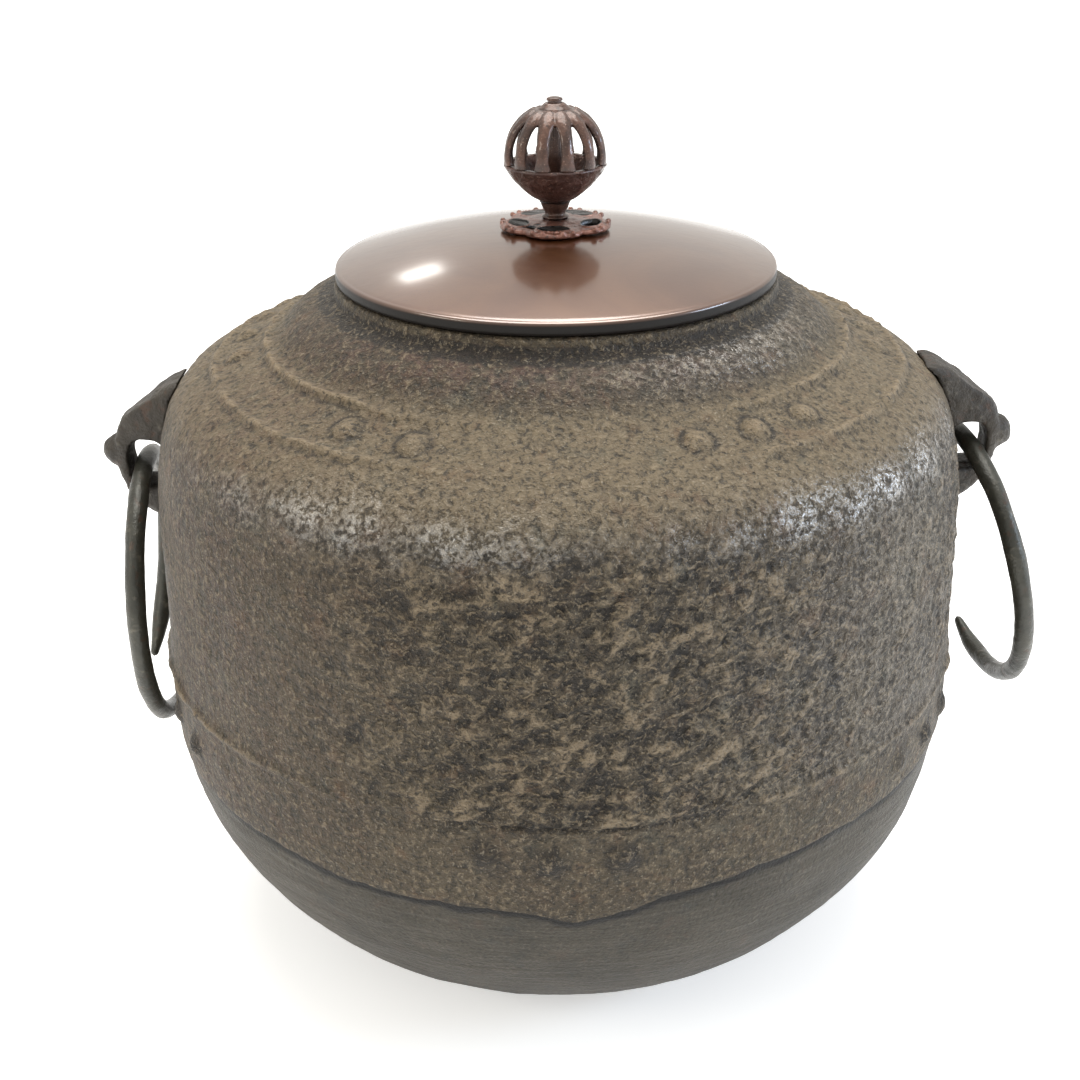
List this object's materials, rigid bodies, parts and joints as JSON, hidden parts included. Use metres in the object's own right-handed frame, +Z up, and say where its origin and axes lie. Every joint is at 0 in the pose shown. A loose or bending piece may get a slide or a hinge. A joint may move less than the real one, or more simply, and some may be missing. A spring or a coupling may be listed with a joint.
{
  "type": "cast iron kettle",
  "caption": "Round cast iron tea ceremony kettle with a wide body, a lift-off bronze lid with a pierced ball knob, and open iron carrying rings hung in side loops.",
  "frame": {"origin": "centre of the flat resting face under the kettle, on the body's axis", "axes": "+Z up along the body's axis; +X towards the right loop and ring; the front faces -Y"},
  "size_m": [0.2848, 0.247, 0.2556],
  "materials": {
    "kettle_body": "rough cast skin, pitted and lightly rusted brown-grey",
    "kettle_bottom": "rough cast iron, smoother than the body",
    "lug_left": "dark smooth cast iron",
    "lug_right": "dark smooth cast iron",
    "ring_left": "satin dark forged iron, faintly green-grey",
    "ring_right": "satin dark forged iron, faintly green-grey",
    "lid_plate": "polished reddish-brown bronze",
    "lid_flange": "turned bronze, unpolished",
    "knob_seat": "patinated bronze with worn edges",
    "knob_stem": "patinated bronze",
    "knob_cup": "rough cast bronze, dark in the hollows",
    "knob_cage": "patinated bronze, bright on the ribs",
    "knob_cap": "patinated bronze",
    "knob_spindle": "worn bronze rod, riveted at both ends",
    "lid_washer": "plain bronze",
    "sound_plate_1": "thin iron under black lacquer",
    "sound_plate_2": "thin iron under black lacquer",
    "sound_plate_3": "thin iron under black lacquer"
  },
  "bodies": {
    "kettle": {"kettle_body": "kettle_body", "kettle_bottom": "kettle_bottom", "lug_left": "lug_left", "lug_right": "lug_right", "sound_plate_1": "sound_plate_1", "sound_plate_2": "sound_plate_2", "sound_plate_3": "sound_plate_3"},
    "lid": {"lid_plate": "lid_plate", "lid_flange": "lid_flange", "knob_seat": "knob_seat", "knob_stem": "knob_stem", "knob_cup": "knob_cup", "knob_cage": "knob_cage", "knob_cap": "knob_cap", "knob_spindle": "knob_spindle", "lid_washer": "lid_washer"},
    "left_ring": {"ring_left": "ring_left"},
    "right_ring": {"ring_right": "ring_right"}
  },
  "joints": [
    {"name": "lid_lift", "type": "slide", "parent": "kettle", "child": "lid", "axis": [0, 0, 1], "range_m": [0, 0.12]},
    {"name": "left_ring_swing", "type": "hinge", "parent": "kettle", "child": "left_ring", "pos_m": [-0.1273, 0, 0.1462], "axis": [0, 1, 0], "range_deg": [0, 165]},
    {"name": "right_ring_swing", "type": "hinge", "parent": "kettle", "child": "right_ring", "pos_m": [0.1253, 0, 0.1518], "axis": [0, -1, 0], "range_deg": [-5, 150]}
  ]
}
